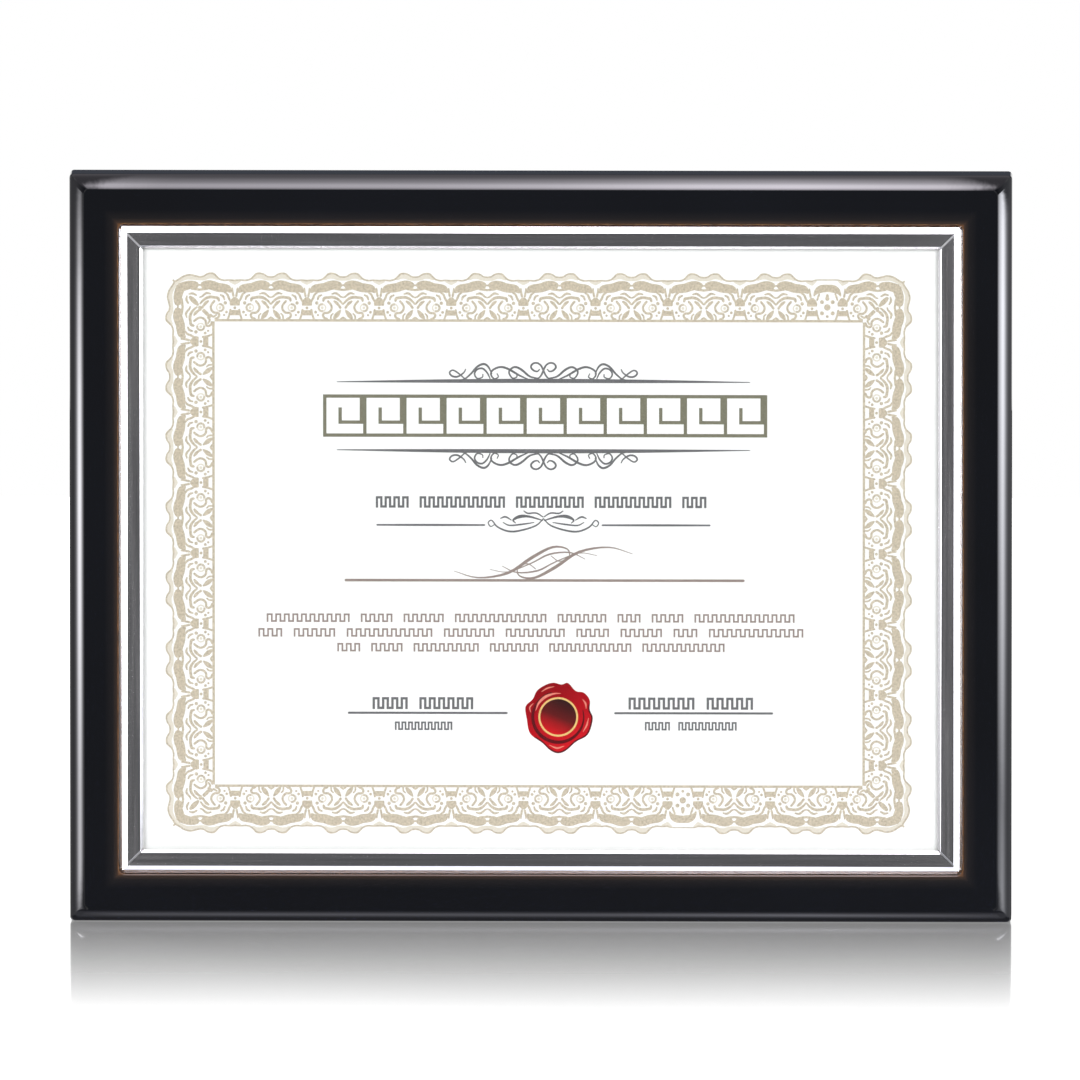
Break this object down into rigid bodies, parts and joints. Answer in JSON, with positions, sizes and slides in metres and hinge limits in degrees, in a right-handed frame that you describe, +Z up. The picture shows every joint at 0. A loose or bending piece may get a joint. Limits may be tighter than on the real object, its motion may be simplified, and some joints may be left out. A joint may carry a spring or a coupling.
{
  "type": "certificate holder",
  "caption": "Upright black lacquered board with a mitred metal-trimmed window, clear lens and certificate; turn buttons hold the back panel, hangers and a folding easel strut behind.",
  "frame": {"origin": "middle of the board's flat lower edge, half way through its thickness", "axes": "+X to the right seen from the front, +Y from the front to the back, +Z up; the front faces -Y"},
  "size_m": [0.3174, 0.0211, 0.254],
  "materials": {
    "lacquer": "fibreboard under black high-gloss lacquer",
    "trim_metal": "polished slopes, finely brushed face",
    "clear_acrylic": "clear polished sheet",
    "certificate_paper": "smooth card stock with a printed border",
    "backing_board": "uncoated board",
    "black_board": "hardboard faced with black grained paper",
    "zinc_steel": "zinc-plated stamped steel",
    "nickel_steel": "nickel-plated steel"
  },
  "bodies": {
    "holder": {"board": "lacquer", "trim_rail_top": "trim_metal", "trim_rail_right": "trim_metal", "trim_rail_bottom": "trim_metal", "trim_rail_left": "trim_metal", "clear_lens": "clear_acrylic", "certificate": "certificate_paper", "backing_card": "backing_board", "back_panel": "black_board", "turn_button_screw_top_left": "nickel_steel", "turn_button_screw_top_right": "nickel_steel", "turn_button_screw_right": "nickel_steel", "turn_button_screw_bottom_left": "nickel_steel", "turn_button_screw_bottom_right": "nickel_steel", "turn_button_screw_left": "nickel_steel", "hanger_landscape": "zinc_steel", "hanger_portrait": "zinc_steel", "hanger_nail_landscape_1": "nickel_steel", "hanger_nail_landscape_2": "nickel_steel", "hanger_nail_portrait_1": "nickel_steel", "hanger_nail_portrait_2": "nickel_steel", "easel_hinge_fixed_leaf": "zinc_steel", "easel_hinge_pin": "nickel_steel", "easel_rivet_panel_left": "nickel_steel", "easel_rivet_panel_right": "nickel_steel"},
    "strut": {"easel_strut": "black_board", "easel_hinge_strut_leaf": "zinc_steel", "easel_rivet_strut_left": "nickel_steel", "easel_rivet_strut_right": "nickel_steel"},
    "button_top_left": {"turn_button_top_left": "zinc_steel"},
    "button_top_right": {"turn_button_top_right": "zinc_steel"},
    "button_right": {"turn_button_right": "zinc_steel"},
    "button_bottom_left": {"turn_button_bottom_left": "zinc_steel"},
    "button_bottom_right": {"turn_button_bottom_right": "zinc_steel"},
    "button_left": {"turn_button_left": "zinc_steel"}
  },
  "joints": [
    {"name": "easel", "type": "hinge", "parent": "holder", "child": "strut", "pos_m": [0, 0.01, 0.19], "axis": [1, 0, 0], "range_deg": [0, 20]},
    {"name": "button_turn_top_left", "type": "hinge", "parent": "holder", "child": "button_top_left", "pos_m": [-0.085, 0.008, 0.24705], "axis": [0, 1, 0], "range_deg": [-90, 90]},
    {"name": "button_turn_top_right", "type": "hinge", "parent": "holder", "child": "button_top_right", "pos_m": [0.085, 0.008, 0.24705], "axis": [0, 1, 0], "range_deg": [-90, 90]},
    {"name": "button_turn_right", "type": "hinge", "parent": "holder", "child": "button_right", "pos_m": [0.1518, 0.008, 0.127], "axis": [0, 1, 0], "range_deg": [-90, 90]},
    {"name": "button_turn_bottom_left", "type": "hinge", "parent": "holder", "child": "button_bottom_left", "pos_m": [-0.085, 0.008, 0.00695], "axis": [0, 1, 0], "range_deg": [-90, 90]},
    {"name": "button_turn_bottom_right", "type": "hinge", "parent": "holder", "child": "button_bottom_right", "pos_m": [0.085, 0.008, 0.00695], "axis": [0, 1, 0], "range_deg": [-90, 90]},
    {"name": "button_turn_left", "type": "hinge", "parent": "holder", "child": "button_left", "pos_m": [-0.1518, 0.008, 0.127], "axis": [0, 1, 0], "range_deg": [-90, 90]}
  ]
}
